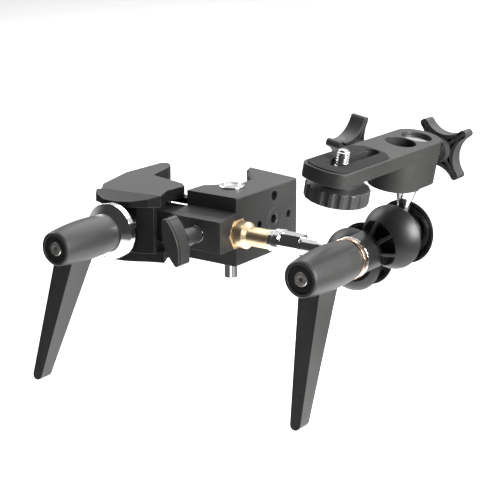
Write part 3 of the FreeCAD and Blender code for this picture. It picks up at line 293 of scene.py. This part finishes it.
def piece(name, bm, mat, body):
    mesh = bpy.data.meshes.new(name)
    bmesh.ops.remove_doubles(bm, verts=bm.verts, dist=1e-7)
    bmesh.ops.recalc_face_normals(bm, faces=bm.faces)
    bm.to_mesh(mesh)
    bm.free()
    for p in mesh.polygons:
        p.use_smooth = True
    mesh.materials.append(mat)
    obj = bpy.data.objects.new(name, mesh)
    bpy.context.scene.collection.objects.link(obj)
    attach(obj, body)
    return obj


def axes_for(direction):
    d = Vector(direction).normalized()
    side = d.cross(Vector((0, 1, 0)) if abs(d.y) < 0.9 else Vector((1, 0, 0))).normalized()
    return d, side, d.cross(side)


def thread_row(z, length, major, pitch):
    """(distance, radius) round one ring of a right-handed thread that fades at both ends."""
    fade = min(1.0, z / (pitch * FADE_PITCHES), (length - z) / (pitch * FADE_PITCHES))
    chamfer = 1.0 if z < length - pitch * CHAMFER_PITCHES else CHAMFER
    row = []
    for k in range(AROUND):
        phase = (z / pitch - k / AROUND) % 1.0
        tooth = min(1.0, max(0.0, CREST - abs(phase - 0.5) * FLANK))
        depth = THREAD_DEPTH * pitch * (1 - tooth * max(0.0, fade))
        row.append((z, (major - depth) * chamfer))
    return row


def ring_of(bm, row, origin, frame_axes):
    d, a, b = frame_axes
    ring = []
    for k, (z, r) in enumerate(row):
        t = 2 * math.pi * k / AROUND
        ring.append(bm.verts.new(Vector(origin) + d * z + a * (r * math.cos(t)) + b * (r * math.sin(t))))
    return ring


def screw(name, origin, direction, length, major, pitch, mat, body, head=()):
    """Closed solid: rings whose radius follows the helix, capped at both ends.
    head is a list of (distance, radius) for the plain part below the thread."""
    steps = int(length / pitch * RINGS_PER_PITCH)
    rows = [[plain] * AROUND for plain in head]
    rows += [thread_row(length * i / steps, length, major, pitch) for i in range(steps + 1)]
    bm = bmesh.new()
    frame_axes = axes_for(direction)
    rings = [ring_of(bm, row, origin, frame_axes) for row in rows]
    for lo, hi in zip(rings, rings[1:]):
        for k in range(AROUND):
            n = (k + 1) % AROUND
            bm.faces.new((lo[k], lo[n], hi[n], hi[k]))
    bm.faces.new(rings[0])
    bm.faces.new(rings[-1])
    return piece(name, bm, mat, body)


# camera screw: shoulder through knob and washer, quarter inch thread above it
thread = screw("camera_thread", on_head(0, CAM_Y, CAM_THREAD_U), U, CAM_THREAD_LENGTH,
               QUARTER_INCH_R, QUARTER_INCH_PITCH, steel, "camera_bolt",
               [(-SHOULDER_LENGTH, SHOULDER_R), (-0.00005, SHOULDER_R), (-0.00004, UNDERCUT_R)])
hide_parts("camera_screw")

# star knob screws: six millimetre thread at one millimetre pitch
stud_thread = screw("stud_star_thread", on_head(0, STUD_STAR_Y, STAR_U), ALONG_Y, STUD_STAR_LENGTH,
                    STAR_R, STAR_PITCH, steel, "stud_star_turn")
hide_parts("stud_star_screw")
bore_thread = screw("bore_star_thread", on_head(BORE_STAR_X, BORE_STAR_Y, STAR_U), -XP,
                    BORE_STAR_LENGTH, STAR_R, STAR_PITCH, steel, "bore_star_turn")
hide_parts("bore_star_screw")

# ------------------------------------------------------------ floor and light

def plane(name, size, z, mat):
    bm = bmesh.new()
    bmesh.ops.create_grid(bm, x_segments=8, y_segments=8, size=size)
    mesh = bpy.data.meshes.new(name)
    bm.to_mesh(mesh)
    bm.free()
    mesh.materials.append(mat)
    obj = bpy.data.objects.new(name, mesh)
    obj.location = (*STAGE, z)
    bpy.context.scene.collection.objects.link(obj)
    return obj


floor_mat, fn, fl, fb = nodes_of("studio_white")
fcoord = fn.new("ShaderNodeTexCoord").outputs["Object"]
pale = ramp(fn, fl, noise(fn, fl, fcoord, 3.0), [(0.3, 0.95), (0.7, 0.97)])
# beyond the pool of light the floor is dark in reflections only, as a dark studio would be
reach = fn.new("ShaderNodeVectorMath")
reach.operation = "LENGTH"
fl.new(fcoord, reach.inputs[0])
dim = ramp(fn, fl, reach.outputs["Value"], [(0.28, 0.85), (0.50, 0.05)])
mirrored = fn.new("ShaderNodeMix")
mirrored.data_type = "RGBA"
fl.new(fn.new("ShaderNodeLightPath").outputs["Is Glossy Ray"], mirrored.inputs["Factor"])
fl.new(pale, mirrored.inputs["A"])
fl.new(dim, mirrored.inputs["B"])
fl.new(mirrored.outputs["Result"], fb.inputs["Base Color"])
fb.inputs["Roughness"].default_value = 0.9
plane("floor", FLOOR_HALF, cad_lo.z - FLOOR_DROP, floor_mat)

world = bpy.data.worlds.new("studio")
bpy.context.scene.world = world
world.use_nodes = True
wn, wl = world.node_tree.nodes, world.node_tree.links
sky = wn.new("ShaderNodeTexCoord").outputs["Generated"]
lean = wn.new("ShaderNodeVectorMath")
lean.operation = "DOT_PRODUCT"
lean.inputs[1].default_value = (-0.10, 0.85, 0.52)
wl.new(sky, lean.inputs[0])
# pale backdrop behind and above, dark room in front: plated parts mirror both
walls = ramp(wn, wl, lean.outputs["Value"],
             [(0.02, 0.05), (0.08, 0.10), (0.30, 0.90), (1.0, 0.75)])
path = wn.new("ShaderNodeLightPath")
seen = wn.new("ShaderNodeMix")
seen.data_type = "RGBA"
wl.new(path.outputs["Is Camera Ray"], seen.inputs["Factor"])
wl.new(walls, seen.inputs["A"])
seen.inputs["B"].default_value = (1, 1, 1, 1)
wl.new(seen.outputs["Result"], wn["Background"].inputs["Color"])
wn["Background"].inputs["Strength"].default_value = 1.0
bpy.context.scene.view_settings.view_transform = "Standard"


def softbox(name, place, target, size, power):
    light = bpy.data.lights.new(name, "AREA")
    light.shape = "RECTANGLE"
    light.size, light.size_y = size
    light.energy = power
    obj = bpy.data.objects.new(name, light)
    obj.location = place
    obj.rotation_euler = (Vector(target) - Vector(place)).to_track_quat("-Z", "Y").to_euler()
    bpy.context.scene.collection.objects.link(obj)
    return obj


centre = (0.06, -0.045, 0.0)
softbox("key", (-0.90, 0.05, 0.70), centre, (0.5, 0.7), 8)
softbox("side", (0.98, -0.10, 0.32), centre, (0.4, 0.6), 34)
softbox("top", (0.00, 0.30, 0.95), centre, (0.8, 0.5), 5)
softbox("rear", (0.10, 1.60, 1.40), (0.05, 2.2, -0.25), (2.5, 1.0), 60)

# ------------------------------------------------------------------- camera
cam = bpy.data.cameras.new("camera")
cam.lens = 108.0
cam.sensor_width = 36.0
cam.clip_start = 0.05
cam.clip_end = 20.0
view = bpy.data.objects.new("camera", cam)
view.location = CAMERA_PLACE
view.rotation_euler = CAMERA_TURN
bpy.context.scene.collection.objects.link(view)
bpy.context.scene.camera = view
